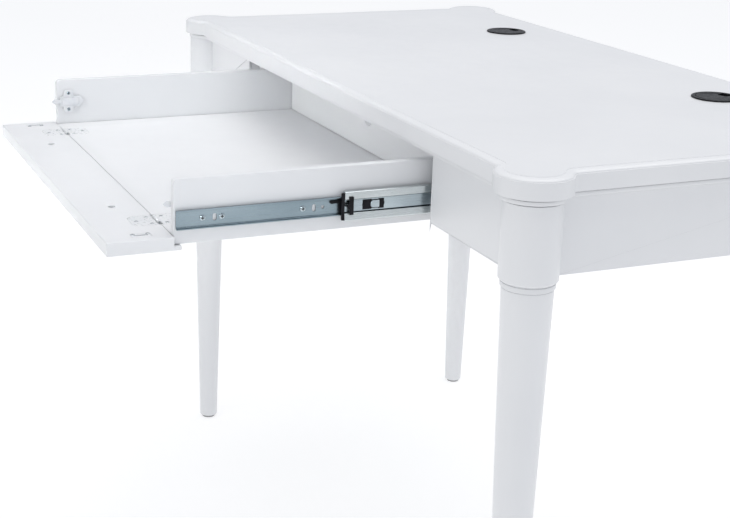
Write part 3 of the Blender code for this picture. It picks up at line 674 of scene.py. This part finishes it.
def make_legs():
    for corner, sx, sy in CORNERS:
        node = "leg_" + corner
        low, high, center = measured(node)
        place = upright(center.x, center.y)
        stands_for(smooth(turned(node, leg_profile(low.z, high.z), place), 32.0), node)
        node = "foot_glide_" + corner
        low, high = box_of(node)
        radius = (high.x - low.x) / 2
        bottom = 0.0012
        profile = [(0.0, high.z), (radius - 0.0003, high.z), (radius, high.z - 0.0003), (radius, bottom)]
        profile += arc((radius - bottom, bottom), bottom, 0.0, -math.pi / 2, 5)[1:] + [(0.0, 0.0)]
        stands_for(smooth(turned(node, profile, place, 48), 40.0), node)
        make_corner(corner, sx, sy, center)


def hex_nut(name, place, radius, thickness, material):
    turns = [math.pi / 3 * i for i in range(6)]
    bm = loft([[(radius * math.cos(turn), radius * math.sin(turn), z) for turn in turns]
            for z in (0.0, thickness)])
    bmesh.ops.bevel(bm, geom=list(bm.edges), offset=0.0006, segments=2, profile=0.5, affect="EDGES")
    bmesh.ops.transform(bm, matrix=place, verts=bm.verts)
    return smooth(add_object(name, bm, material), 40.0)


def make_corner(corner, sx, sy, leg):
    """Glue block with its hanger bolt: a threaded rod, a washer and a hexagon nut."""
    node = "corner_block_" + corner
    refined(node, 0.001)
    low, high = box_of(node)
    outer_x = high.x if sx > 0 else low.x
    outer_y = high.y if sy > 0 else low.y
    face = (abs(leg.x - outer_x) + abs(leg.y - outer_y) + (high.x - low.x)) / math.sqrt(2) + GAP
    node = "leg_bolt_" + corner
    start = Vector((leg.x, leg.y, middle_of(node).z))
    inwards = Vector((-sx, -sy, 0.0)).normalized()
    root, crest = THREAD_R
    profile = [(0.0, BOLT_START)]
    reach = BOLT_START
    while reach < BOLT_END:
        profile += [(root, reach), (crest, reach + THREAD_PITCH * 0.4), (crest, reach + THREAD_PITCH * 0.6)]
        reach += THREAD_PITCH
    profile += [(root, reach), (0.0, reach + 0.0004)]
    stands_for(smooth(turned(node, profile, facing(start, inwards), 20), 20.0, False), node)
    hole, rim, thick, round_off = 0.0042, 0.0095, 0.0012, 0.0003
    profile = [(hole, 0.0), (rim - round_off, 0.0), (rim, round_off), (rim, thick - round_off),
            (rim - round_off, thick), (hole, thick), (hole, 0.0)]
    washer = lathe("washer_" + corner, profile, facing(start + inwards * face, inwards), look_of(node), 40)
    detail(smooth(washer, FINE_SHARP), "root", "zinc_steel")
    seat = facing(start + inwards * (face + thick), inwards)
    detail(hex_nut("nut_" + corner, seat, 0.0075, 0.0062, look_of(node)), "root", "zinc_steel")


# ---- cable holes
def make_grommets():
    """Flanged liner with a ledge inside, and the notched cap that turns in it."""
    for side, _ in SIDES:
        node = "grommet_liner_" + side
        low, high, center = measured(node)
        place = upright(center.x, center.y)
        rim = high.z
        bottom = rim - FLANGE_T
        bore = CAP_R + GAP
        ledge = bore - 0.0025
        tube = LINER_HOLE_R - GAP
        profile = [(bore, rim - 0.0006), (bore + 0.0006, rim), (FLANGE_R - 0.0016, rim)]
        profile += arc((FLANGE_R - 0.0014, rim - 0.0014), 0.0014, math.pi / 2, 0.0, 6)
        profile += [(FLANGE_R, bottom), (tube, bottom), (tube, low.z), (bore - 0.0002, low.z),
                (bore - 0.0002, bottom - 0.0055), (ledge, bottom - 0.0055),
                (ledge, bottom - 0.0039), (bore, bottom - 0.0039), (bore, rim - 0.0006)]
        stands_for(smooth(turned(node, profile, place), 35.0), node)
        node = "grommet_cap_" + side
        low, high = box_of(node)
        dished = high.z - 0.0005
        profile = [(0.0, dished), (CAP_R - 0.0052, dished), (CAP_R - 0.0044, high.z)]
        profile += arc((CAP_R - 0.001, high.z - 0.001), 0.001, math.pi / 2, 0.0, 5)
        cap = turned(node, profile + [(CAP_R, low.z), (0.0, low.z)], place)
        width, depth = CAP_NOTCH
        reach = CAP_R - depth
        outside = 0.05
        outline = filleted([(reach, -width / 2, 0.004), (outside, -width / 2, 0.0),
                (outside, width / 2, 0.0), (reach, width / 2, 0.004)])
        notch = prism("notch", outline, -0.02, 0.02, "z", look_of(node))
        turn = Matrix.Rotation(CAP_NOTCH_TURN, 4, "Z")
        notch.matrix_world = upright(center.x, center.y, high.z) @ turn
        stands_for(soften(carve(cap, notch), 0.0003, 2, 50.0), node)


# ---- boards of the frame
def make_frame_boards():
    for node in ("apron_left", "apron_right", "apron_back", "front_panel_left", "front_panel_right"):
        refined(node, 0.0012)
    for node in ("divider_left", "divider_right", "front_stretcher"):
        refined(node, 0.0008)


# ---- ball-bearing slides
def slide_section(kind):
    """(depth, height, corner radius) outline of a slide member, depth from the drawer's side."""
    h = SLIDE_HALF[kind]
    t = SHEET
    tip, bend = 0.0003, 0.0008
    if kind == "inner":
        lip = 0.006
        return [(GAP, -h, 0.0018), (lip, -h, tip), (lip, -h + t, tip), (GAP + t, -h + t, bend),
                (GAP + t, h - t, bend), (lip, h - t, tip), (lip, h, tip), (GAP, h, 0.0018)]
    if kind == "middle":
        face, web, line, back, lip = MIDDLE_FACE, MIDDLE_WEB, MIDDLE_WEB - FOLD_DEPTH, 0.005, 0.003
        high, low = FOLD_REACH
        crisp = 0.0001
        return [(lip, h, tip), (face, h, 0.0014), (face, 0.0088, 0.0006), (line, high, crisp),
                (line, low, crisp), (web, 0.0075, 0.0002), (web, -0.0075, 0.0002),
                (line, -low, crisp), (line, -high, crisp),
                (0.0084, -0.0088, 0.0006), (face, -h, 0.0012), (lip, -h, tip),
                (lip, -h + t, tip), (0.0083, -h + t, 0.0004), (0.0072, -0.0099, tip),
                (back, -0.0097, bend), (back, 0.0097, bend), (0.0085, 0.0099, tip),
                (0.0085, h - t, bend), (lip, h - t, tip)]
    face, lip = OUTER_FACE, 0.004
    return [(lip, h, tip), (face, h, 0.0024), (face, -h, 0.0024), (lip, -h, tip),
            (lip, -h + t, tip), (face - t, -h + t, 0.0012), (face - t, h - t, 0.0012), (lip, h - t, tip)]


def side_plane(sign):
    """X of the drawer side's outer face."""
    low, high = box_of("drawer_side_right" if sign > 0 else "drawer_side_left")
    return high.x if sign > 0 else low.x


def member(kind, side, sign):
    """One slide member, with the corner, middle height and drawer plane its details start from."""
    node = f"slide_{kind}_{side}"
    low, high = box_of(node)
    base = side_plane(sign)
    height = (low.z + high.z) / 2
    outline = [(base + sign * x, height + y) for x, y in filleted(slide_section(kind))]
    return node, cut_out(node, outline, low.y, high.y, "y"), low, height, base


def rounded_box(low, high, radii, steps=5):
    """Outline of a box with a radius for each corner, from its lowest one round."""
    corners = (low, (high[0], low[1]), high, (low[0], high[1]))
    return filleted([(*corner, radius) for corner, radius in zip(corners, radii)], steps)


def slot_cutter(y, z, length, width, base, sign, height_first=False):
    """A round-ended hole through a web, length along Y (or along Z)."""
    dy, dz = length / 2, width / 2
    if height_first:
        dy, dz = dz, dy
    radius = min(dy, dz) * 0.999
    outline = rounded_box((y - dy, z - dz), (y + dy, z + dz), (radius,) * 4, 8)
    return prism("slot", outline, *sorted((base - sign * 0.001, base + sign * 0.02)), "x", RECESS_SHADE)


def make_slides():
    for side, sign in SIDES:
        node, inner, low, z, base = member("inner", side, sign)
        inner.data.materials[0] = DULL_ZINC
        cutters = [slot_cutter(low.y + y, z, length, width, base, sign, tall)
                for y, length, width, tall in INNER_SLOTS]
        stands_for(smooth(carve(inner, *cutters), FINE_SHARP), node)
        for number, along in enumerate(INNER_SCREWS):
            point = (base + sign * (GAP + SHEET), low.y + along, z)
            add_screw(f"slide_screw_{side}_{number}", "large", point, (sign, 0.0, 0.0), "drawer")
        node, carriage, low, z, base = member("middle", side, sign)
        window = slot_cutter(low.y + 0.0393, z, 0.03, 0.0112, base, sign)
        stands_for(smooth(paint_band_light_and_fold_shade(carve(carriage, window), z, base), FINE_SHARP), node)
        make_latch(side, sign, low, z, base)
        node, outer, low, z, base = member("outer", side, sign)
        cutters = [slot_cutter(low.y + y, z, 0.0085, 0.0044, base, sign) for y in OUTER_SLOTS]
        stands_for(smooth(carve(outer, *cutters), FINE_SHARP), node)
        for number, along in enumerate(OUTER_SCREWS):
            point = (base + sign * (OUTER_FACE - SHEET), low.y + along, z)
            add_screw(f"fixing_screw_{side}_{number}", "large", point, (-sign, 0.0, 0.0), "root")
        make_bumper(side)
        make_lever(side)
        make_ball_rows(side, sign)


def paint_band_light_and_fold_shade(carriage, z, base):
    """Painted highlight and shadow on one steel member: the bands above and below the web brighter, and the
    lines folded in beside them dark.
    """
    carriage.data.materials.append(BAND_HIGHLIGHT_ZINC)
    carriage.data.materials.append(FOLD_SHADOW_ZINC)
    line = MIDDLE_WEB - FOLD_DEPTH
    outer, inner = FOLD_REACH
    for polygon in carriage.data.polygons:
        rise = abs(polygon.center.z - z)
        depth = abs(polygon.center.x - base)
        # bands take the painted highlight, the fold lines the painted shadow
        if rise > outer + 0.0001:
            polygon.material_index = 1
        elif rise > inner - 0.0003 and abs(depth - line) < 0.0004:
            polygon.material_index = 2
    return carriage


def make_bumper(side):
    """Rubber stop with a round nose towards the front."""
    node = "slide_bumper_" + side
    low, high = box_of(node)
    z = (low.z + high.z) / 2 + 0.0009
    front = low.y + 0.0038
    back = front + 0.0053
    half = 0.0114
    nose = arc((front, z), 0.0036, math.pi / 2, 3 * math.pi / 2, 16)
    outline = [(back, z + half), (front, z + half), *nose, (front, z - half), (back, z - half)]
    stands_for(soften(cut_out(node, outline, low.x, high.x, "x"), 0.0004, 2), node)


def make_lever(side):
    """Thumb lever: an arm with a thickened tip, and an upright foot against the middle member."""
    node = "release_lever_" + side
    low, high = box_of(node)
    z = (low.z + high.z) / 2
    end = high.y
    root = end - 0.0042
    arm_low, arm_high = z + 0.0034, z + 0.0074
    corners = [(low.y, arm_low, 0.0016), (low.y + 0.003, arm_low, 0.0006), (root, z + 0.004, 0.0006),
            (root + 0.0004, z - 0.004, 0.0015), (root + 0.0022, low.z, 0.0008), (end, low.z, 0.0004),
            (end, high.z, 0.0004), (root, high.z, 0.0008), (root, arm_high, 0.0006),
            (low.y, arm_high, 0.0016)]
    stands_for(soften(cut_out(node, filleted(corners), low.x, high.x, "x"), 0.0003, 2), node)


def make_latch(side, sign, low, z, base):
    """Sequencing latch in the middle member's window, and the member's black front guide."""
    body = "slide_middle_" + side
    black = LOOKS["black_plastic"]
    depth = sorted((base + sign * 0.0044, base + sign * 0.0066))
    start = low.y + 0.0246
    pad_half = 0.0064
    for number, (y0, y1) in enumerate(((0.0, 0.0122), (0.0212, 0.029))):
        piece = block(f"latch_pad_{side}_{number}", (depth[0], start + y0, z - pad_half),
                (depth[1], start + y1, z + pad_half), black)
        detail(soften(piece, 0.0006), body, "black_plastic")
    outline = rounded_box((start + 0.0104, z - 0.0044), (start + 0.0222, z + 0.0048),
            (0.0036, 0.001, 0.001, 0.0036))
    spring = prism("latch_spring_" + side, outline, depth[1] + GAP, depth[1] + 0.0012, "x",
            LOOKS["zinc_steel"])
    detail(soften(spring, 0.0003, 2), body, "zinc_steel")
    guide_half = 0.0172
    outline = rounded_box((low.y - 0.004, z - guide_half), (low.y - GAP, z + guide_half),
            (0.0008, 0.0004, 0.0004, 0.0008))
    xs = sorted((base + sign * 0.0066, base + sign * 0.0095))
    guide = prism("slide_guide_" + side, outline, *xs, "x", black)
    detail(soften(guide, 0.0005, 2), body, "black_plastic")


def make_ball_rows(side, sign):
    """Balls of the front cage, seen at the middle member's mouth; they travel with it."""
    node = "slide_middle_" + side
    low, high = box_of(node)
    z = (low.z + high.z) / 2
    base = side_plane(sign)
    radius, pitch, row_height = 0.0016, 0.0065, 0.0146
    bm = bmesh.new()
    for level in (-1, 1):
        for i in range(9):
            center = (base + sign * 0.0052, low.y + 0.006 + pitch * i, z + level * row_height)
            made = bmesh.ops.create_uvsphere(bm, u_segments=16, v_segments=10, radius=radius)
            bmesh.ops.translate(bm, verts=made["verts"], vec=center)
    balls = add_object("slide_balls_" + side, bm, LOOKS["zinc_steel"])
    balls.data.shade_smooth()
    detail(balls, node, "zinc_steel")


# ---- drawer
def make_drawer():
    """Sides with a rounded top front corner, a back with a cable notch, and the hinged-to bottom."""
    for side, _ in SIDES:
        node = "drawer_side_" + side
        low, high = box_of(node)
        nose = 0.006
        outline = [(low.y, low.z), (high.y, low.z), (high.y, high.z)]
        outline += arc((low.y + nose, high.z - nose), nose, math.pi / 2, math.pi, 12)
        stands_for(soften(cut_out(node, outline, low.x, high.x, "x"), 0.001), node)
    node = "drawer_back"
    low, high = box_of(node)
    notch = 0.018
    center_z = high.z + 0.003 - 0.012
    outline = [(low.x, low.z), (high.x, low.z), (high.x, high.z), (notch, high.z)]
    outline += arc((0.0, center_z), notch, 0.0, -math.pi, 32)
    outline += [(-notch, high.z), (low.x, high.z)]
    stands_for(soften(cut_out(node, outline, low.y, high.y, "y"), 0.001), node)
    node = "drawer_bottom"
    low, high = box_of(node)
    bottom = carve_ready(block(node + "_finish", low, high, look_of(node)), 0.0008)
    for side, _ in SIDES:
        carve(bottom, *leaf_cutters(middle_of("hinge_pin_" + side), 1))
    stands_for(smooth(bottom), node)
    make_spears()


def make_spears():
    """Strike plates: an ear above and below for screws, a point behind and a barbed tongue in front."""
    for side, sign in SIDES:
        node = "strike_spear_" + side
        low, high = box_of(node)
        z = (low.z + high.z) / 2
        ear = (high.z - low.z) / 2
        start = low.y + 0.0126
        end = high.y - 0.0055
        half = 0.008
        tongue = 0.0042
        ear_start = start + 0.0055
        ear_end = start + 0.0205
        upper = [(high.y, 0.001, 0.0006), (end, half, 0.0012), (ear_end, half, 0.0025),
                (ear_end, ear, 0.0045), (ear_start, ear, 0.0045), (ear_start, half, 0.0025),
                (start, half, 0.0015), (start, tongue * 0.6, 0.0008),
                (low.y + 0.004, tongue, 0.001), (low.y, 0.0007, 0.0004)]
        outline = [(y, z + height, radius) for y, height, radius in upper]
        outline += [(y, z - height, radius) for y, height, radius in upper[::-1]]
        plate = cut_out(node, filleted(outline), low.x, high.x, "x")
        stands_for(soften(plate, 0.0005, 2), node)
        face = low.x if sign > 0 else high.x
        for number, level in enumerate((-1, 1)):
            point = (face, (ear_start + ear_end) / 2, z + level * (ear - 0.005))
            add_screw(f"strike_screw_{side}_{number}", "strike", point, (-sign, 0.0, 0.0), "drawer")
        inset, rib_half, rib_height = 0.003, 0.0055, 0.0016
        outline = rounded_box((start + inset, z - rib_half), (end - inset, z + rib_half), (0.002,) * 4)
        xs = sorted((face, face - sign * rib_height))
        rib = prism("strike_rib_" + side, outline, *xs, "x", look_of(node))
        detail(soften(rib, 0.0005, 2), "drawer", SLOT_OF[node])


# ---- hinges
def leaf_outline(axis, towards, reach, half, start):
    """A hinge leaf from above, with rounded outer corners."""
    corner = 0.012
    points = [(half, start)]
    points += arc((half - corner, reach - corner), corner, 0.0, math.pi / 2, 12)
    points += arc((corner - half, reach - corner), corner, math.pi / 2, math.pi, 12)
    points += [(-half, start)]
    return [(axis.x + x, axis.y + towards * y) for x, y in points]


def leaf_cutters(axis, towards):
    """Recess for one leaf, and the room round the knuckles."""
    outline = leaf_outline(axis, towards, LEAF_REACH + GAP, LEAF_HALF + GAP, -0.001)
    recess = prism("recess", outline, axis.z - LEAF_T - GAP, axis.z + 0.01, "z", RECESS_SHADE)
    radius, half = KNUCKLE_R + GAP, KNUCKLE_HALF + GAP
    profile = [(0.0, 0.0), (radius, 0.0), (radius, 2 * half), (0.0, 2 * half)]
    place = facing(axis - Vector((half, 0.0, 0.0)), ALONG_X)
    return recess, lathe("knuckle_room", profile, place, RECESS_SHADE, 32)


def knuckle(axis, towards, start, low_x, high_x, look):
    """One barrel of a hinge, and the neck that joins it to its leaf a hair inside the leaf's faces."""
    round_off, bore, inset = 0.0003, 0.0013, 0.0001
    length = high_x - low_x
    profile = [(bore, 0.0), (KNUCKLE_R - round_off, 0.0), (KNUCKLE_R, round_off),
            (KNUCKLE_R, length - round_off), (KNUCKLE_R - round_off, length), (bore, length),
            (bore, 0.0)]
    place = facing(axis + Vector((low_x, 0.0, 0.0)), ALONG_X)
    barrel = lathe("barrel", profile, place, look, 32)
    ys = sorted((axis.y + towards * 0.0016, axis.y + towards * (start + 0.002)))
    low = (axis.x + low_x + inset, ys[0], axis.z - LEAF_T + inset)
    high = (axis.x + high_x - inset, ys[1], axis.z - inset)
    return barrel, block("neck", low, high, look)


def make_hinges():
    segments = {"drawer": ((-KNUCKLE_HALF, -KNUCKLE_SPLIT - GAP), (KNUCKLE_SPLIT + GAP, KNUCKLE_HALF)),
            "front": ((-KNUCKLE_SPLIT, KNUCKLE_SPLIT),)}
    start = KNUCKLE_R + 0.0005
    for side, _ in SIDES:
        axis = middle_of("hinge_pin_" + side)
        for owner, towards in (("drawer", 1), ("front", -1)):
            node = f"hinge_leaf_{owner}_{side}"
            outline = leaf_outline(axis, towards, LEAF_REACH, LEAF_HALF, start)
            leaf = carve_ready(cut_out(node, outline, axis.z - LEAF_T, axis.z, "z"), 0.0003, 2)
            knuckles = []
            for low_x, high_x in segments[owner]:
                knuckles += knuckle(axis, towards, start, low_x, high_x, look_of(node))
            stands_for(smooth(merge(leaf, *knuckles), 35.0), node)
            for number, (x, y) in enumerate(HINGE_SCREWS):
                point = (axis.x + x, axis.y + towards * y, axis.z - 0.0003)
                add_screw(f"hinge_screw_{owner}_{side}_{number}", "small", point, UP, BODY_OF[node])
        node = "hinge_pin_" + side
        low, high = box_of(node)
        length = high.x - low.x
        radius = (high.z - low.z) / 2
        chamfer = 0.0004
        profile = [(0.0, 0.0), (radius * 0.6, 0.0), (radius, chamfer), (radius, length - chamfer),
                (radius * 0.6, length), (0.0, length)]
        pin = turned(node, profile, facing((low.x, axis.y, axis.z), ALONG_X), 24)
        stands_for(smooth(pin, 35.0), node)


# ---- dropping front
def make_front():
    """Front panel with a lip under the drawer bottom, and its hinge, knob and catch recesses."""
    node = "drop_front"
    low, high = box_of(node)
    hinge_y = middle_of("hinge_pin_left").y
    lip = low.z + 0.0053
    outline = [(hinge_y, high.z), (low.y, high.z), (low.y, low.z), (high.y, low.z), (high.y, lip),
            (hinge_y, lip)]
    front = carve_ready(cut_out(node, outline, low.x, high.x, "x"), 0.0013, 4)
    room = Vector((GAP, GAP, GAP))
    open_top = Vector((0.0, 0.0, 0.01))
    through = 0.03
    hole = [(0.0, through), (SINK_R, through), (SINK_R, -SINK_DEPTH), (SINK_BORE, -SINK_DEPTH),
            (SINK_BORE, -through), (0.0, -through)]
    cutters = []
    for side, _ in SIDES:
        cutters += leaf_cutters(middle_of("hinge_pin_" + side), -1)
        knob = middle_of("knob_" + side)
        cutters.append(lathe("sink", hole, upright(knob.x, knob.y, high.z), RECESS_SHADE, 32))
        catch_low, catch_high = box_of("spring_catch_" + side)
        cutters.append(block("pocket", catch_low - room, catch_high + room + open_top, RECESS_SHADE))
    stands_for(smooth(carve(front, *cutters)), node)
    for side, sign in SIDES:
        make_knob(side)
        make_catch(side, sign)


def make_knob(side):
    """Turned knob with a flared neck, and the countersunk screw that holds it from inside."""
    node = "knob_" + side
    low, high, center = measured(node)
    place = upright(center.x, center.y)
    base = high.z
    foot, neck = 0.0072, 0.0052
    profile = [(0.0, base), (foot, base), (foot, base - 0.0011), (foot - 0.0004, base - 0.0016)]
    profile += [(neck + 0.0016 * (1 - i / 6) ** 2, base - 0.0016 - 0.003 * i / 6) for i in range(1, 7)]
    flare = base - 0.0085
    profile += [(neck, flare)]
    profile += [(neck + (KNOB_R - 0.0075) * (i / 8) ** 1.8, flare - 0.005 * i / 8) for i in range(1, 9)]
    profile += arc((KNOB_R - 0.005, base - 0.0185), 0.005, math.pi / 3, -math.pi / 3, 12)
    profile += [(KNOB_R - 0.005, low.z + 0.001), (KNOB_R - 0.008, low.z + 0.0003), (0.0, low.z)]
    stands_for(smooth(turned(node, profile, place, 72), 40.0), node)
    node = "knob_screw_" + side
    low, high = box_of(node)
    head, shank = 0.0038, 0.002
    profile = [(0.0, high.z), (0.0026, high.z), (0.0036, high.z - 0.0007), (head, high.z - 0.0014),
            (head, high.z - 0.003), (shank, high.z - 0.0031), (shank, low.z), (0.0, low.z)]
    screw = turned(node, profile, place, 32)
    bars = [block("bar", (center.x - x, center.y - y, high.z - 0.0014),
            (center.x + x, center.y + y, high.z + 0.01), RECESS_SHADE)
            for x, y in ((0.0022, 0.0005), (0.0005, 0.0022))]
    stands_for(smooth(carve(screw, *bars), 35.0), node)


def make_catch(side, sign):
    """Nylon catch: a block with a slot, and two sprung rollers that grip the strike."""
    node = "spring_catch_" + side
    low, high, center = measured(node)
    body = BODY_OF[node]
    piece = carve_ready(block(node + "_finish", low, high, look_of(node)), 0.0007)
    half_x, half_y = 0.0025, 0.0085
    outline = rounded_box((center.x - half_x, center.y - half_y), (center.x + half_x, center.y + half_y),
            (0.0008,) * 4)
    slot = prism("slot", outline, high.z - 0.0086, high.z + 0.01, "z", look_of(node))
    stands_for(smooth(carve(piece, slot)), node)
    radius, chamfer, length = 0.0015, 0.0003, 0.0046
    profile = [(0.0, 0.0), (radius - chamfer, 0.0), (radius, chamfer), (radius, length - chamfer),
            (radius - chamfer, length), (0.0, length)]
    for number, level in enumerate((-1, 1)):
        place = facing((center.x - length / 2, center.y + level * 0.0066, high.z - 0.0022), ALONG_X)
        roller = lathe(f"catch_roller_{side}_{number}", profile, place, look_of(node), 24)
        detail(smooth(roller, 35.0), body, SLOT_OF[node])
    for number, level in enumerate((-1, 1)):
        point = (center.x - sign * 0.0046, center.y + level * 0.009, high.z - 0.0001)
        add_screw(f"catch_screw_{side}_{number}", "small", point, UP, body)


# ---- floor, light and camera
def make_floor():
    """Pale floor that glows a little, so it fades into the pale surroundings."""
    material, tree, shader = material_tree("pale_floor", (0.5, 0.5, 0.5), 0.85)
    colored(tree, shader, mottled(tree, 0.6, 2.0, (0.495, 0.498, 0.502), (0.505, 0.508, 0.512)))
    shader.inputs["Specular IOR Level"].default_value = 0.15
    shader.inputs["Emission Color"].default_value = (1.0, 1.0, 1.0, 1.0)
    shader.inputs["Emission Strength"].default_value = 0.63
    bm = bmesh.new()
    bmesh.ops.create_grid(bm, x_segments=4, y_segments=4, size=FLOOR_HALF)
    floor = add_object("floor", bm, material)


def make_world():
    world = bpy.data.worlds.new("soft_studio")
    world.use_nodes = True
    background = world.node_tree.nodes["Background"]
    background.inputs["Color"].default_value = (0.9, 0.93, 1.0, 1.0)
    background.inputs["Strength"].default_value = 0.62
    bpy.context.scene.world = world


def make_light(name, position, aim, size, power, color, spread=180.0):
    """An area light; position and aim are measured from the middle of the desk top."""
    desk = middle_of("desktop")
    data = bpy.data.lights.new(name, "AREA")
    data.shape = "RECTANGLE"
    data.size = size[0]
    data.size_y = size[1]
    data.energy = power
    data.color = color
    data.spread = math.radians(spread)
    light = linked(name, data)
    direction = Vector(aim) - Vector(position)
    light.location = desk + Vector(position)
    light.rotation_euler = direction.to_track_quat("-Z", "Y").to_euler()


def make_lights():
    """Big soft boxes overhead and in front, and two small ones that reach into the drawer."""
    make_light("overhead", (0.2, 0.5, 3.0), (0.0, 0.0, 0.0), (3.5, 3.5), 60.0, (1.0, 0.98, 0.95))
    make_light("over_drawer", (0.5, -1.2, 2.2), (0.0, -0.4, 0.0), (1.6, 1.6), 6.0, (1.0, 0.97, 0.93))
    make_light("front", (0.3, -3.0, 0.9), (-0.3, -0.4, 0.0), (2.6, 1.6), 5.0, (1.0, 0.92, 0.75))
    make_light("into_drawer", (0.5, -2.8, 0.8), (-0.15, -0.4, -0.08), (0.6, 0.4), 0.24,
            (1.0, 1.0, 0.98), 12.0)
    make_light("along_drawer", (2.7, -1.35, 0.62), (-0.2, -0.45, -0.06), (0.4, 0.4), 0.08,
            (0.9, 0.96, 1.0), 8.0)


def make_camera():
    """Seen from the front right, a little above the top; placed from the desk's own centre."""
    desk = middle_of("desktop")
    data = bpy.data.cameras.new("camera")
    data.sensor_width = 36.0
    data.lens = CAMERA_LENS
    data.shift_x, data.shift_y = CAMERA_SHIFT
    data.clip_start = 0.05
    data.clip_end = 100.0
    camera = linked("camera", data)
    heading, tilt, roll = (math.radians(angle) for angle in CAMERA_TURN)
    forward = Vector((-math.cos(heading) * math.cos(tilt), math.sin(heading) * math.cos(tilt),
            -math.sin(tilt)))
    level = forward.cross(Vector(UP)).normalized()
    down = forward.cross(level)
    right = level * math.cos(roll) + down * math.sin(roll)
    lower = down * math.cos(roll) - level * math.sin(roll)
    turn = Matrix((right, -lower, -forward)).transposed().to_4x4()
    x, y, z = CAMERA_PLACE
    camera.matrix_world = upright(desk.x + x, desk.y + y, z) @ turn
    bpy.context.scene.camera = camera
    bpy.context.scene.view_settings.view_transform = "Standard"


# ---- build
make_top()
make_legs()
make_grommets()
make_frame_boards()
make_slides()
make_drawer()
make_hinges()
make_front()
make_floor()
make_world()
make_lights()
make_camera()
